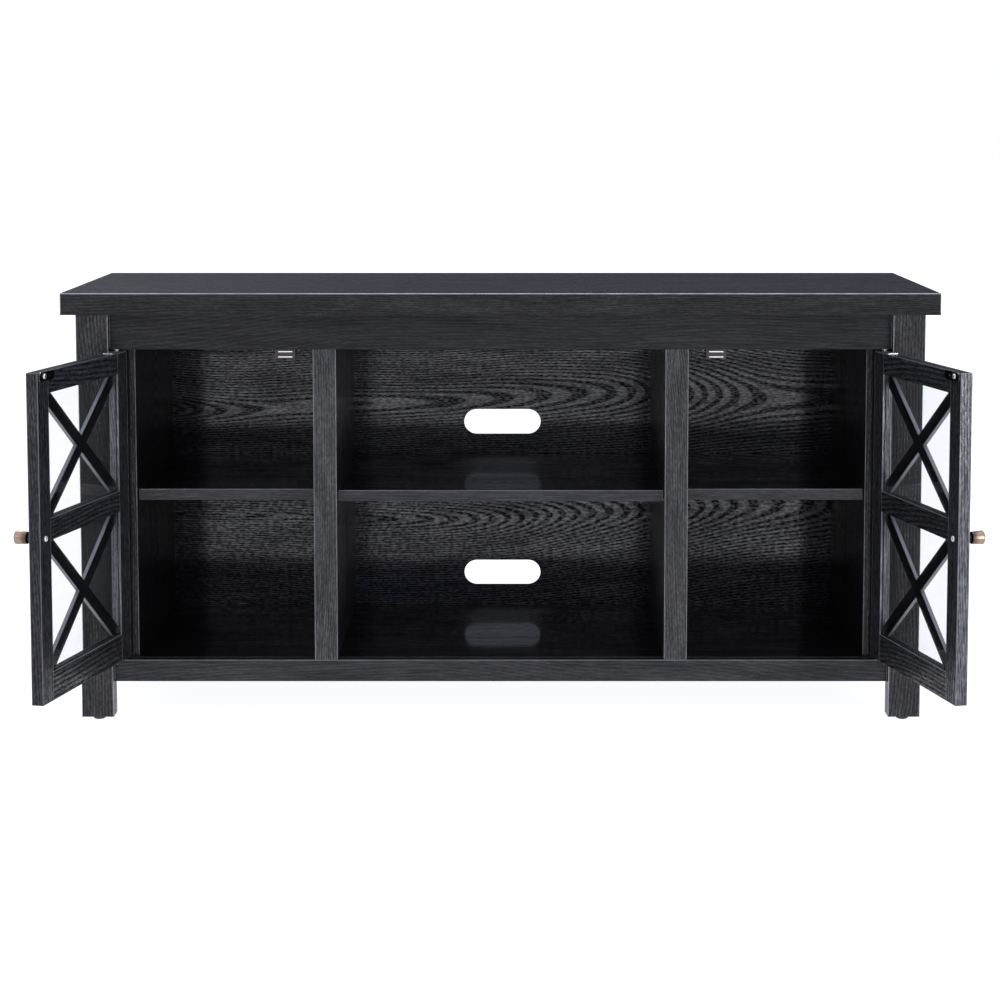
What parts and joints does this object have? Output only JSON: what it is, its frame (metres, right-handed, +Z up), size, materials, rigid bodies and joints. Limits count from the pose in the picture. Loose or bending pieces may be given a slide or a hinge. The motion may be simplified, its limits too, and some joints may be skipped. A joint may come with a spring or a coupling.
{
  "type": "media cabinet",
  "caption": "Low black oak cabinet on four legs: open shelved middle bay, shelved side bays behind framed glass doors with crossed bars, cable slots in the back.",
  "frame": {"origin": "on the floor, in the middle of the box around the cabinet with both doors standing open", "axes": "+X to the right seen from the front, +Y to the back, +Z up"},
  "size_m": [1.2548, 0.6328, 0.604],
  "materials": {
    "black_oak": "black embossed oak laminate, satin",
    "fibreboard": "raw fibreboard",
    "beech": "planed beech",
    "zinc": "bright zinc plate",
    "nickel": "bright nickel plate",
    "bronze": "antique bronze, satin",
    "brown_plastic": "moulded, satin",
    "ferrite": "sintered magnet",
    "black_plastic": "moulded, matt",
    "nylon": "natural nylon",
    "clear_glass": "clear float glass"
  },
  "bodies": {
    "case": {"top_panel": "black_oak", "apron": "black_oak", "bottom_rail": "black_oak", "top_battens": "black_oak", "front_leg_left": "black_oak", "front_leg_right": "black_oak", "rear_leg_left": "black_oak", "rear_leg_right": "black_oak", "side_board_left": "black_oak", "side_board_right": "black_oak", "side_panel_left": "black_oak", "side_panel_right": "black_oak", "side_spacers": "fibreboard", "bottom_panel": "black_oak", "partition_left": "black_oak", "partition_right": "black_oak", "shelf_left": "black_oak", "shelf_middle": "black_oak", "shelf_right": "black_oak", "back_panel": "black_oak", "support_leg_left": "black_oak", "support_leg_right": "black_oak", "foot_glides": "black_plastic", "dowels": "beech", "cam_bolts": "zinc", "cam_locks": "zinc", "base_screws": "zinc", "back_nails": "zinc", "shelf_pins": "nickel", "catch_housings": "brown_plastic", "catch_poles": "nickel", "catch_magnets": "ferrite", "catch_screws": "nickel", "pivot_bushes": "nylon"},
    "left_door": {"left_hinge_stile": "black_oak", "left_free_stile": "black_oak", "left_top_rail": "black_oak", "left_middle_rail": "black_oak", "left_bottom_rail": "black_oak", "left_upper_cross": "black_oak", "left_lower_cross": "black_oak", "left_glass": "clear_glass", "left_knob": "bronze", "left_knob_screw": "nickel", "left_strike_plate": "nickel", "left_pivot_plates": "nickel", "left_door_screws": "nickel"},
    "right_door": {"right_hinge_stile": "black_oak", "right_free_stile": "black_oak", "right_top_rail": "black_oak", "right_middle_rail": "black_oak", "right_bottom_rail": "black_oak", "right_upper_cross": "black_oak", "right_lower_cross": "black_oak", "right_glass": "clear_glass", "right_knob": "bronze", "right_knob_screw": "nickel", "right_strike_plate": "nickel", "right_pivot_plates": "nickel", "right_door_screws": "nickel"}
  },
  "joints": [
    {"name": "left_door_hinge", "type": "hinge", "parent": "case", "child": "left_door", "pos_m": [-0.5349, -0.05057, 0.30425], "axis": [0, 0, 1], "range_deg": [-1.5, 104]},
    {"name": "right_door_hinge", "type": "hinge", "parent": "case", "child": "right_door", "pos_m": [0.5349, -0.05057, 0.30425], "axis": [0, 0, -1], "range_deg": [-1.5, 104]}
  ]
}
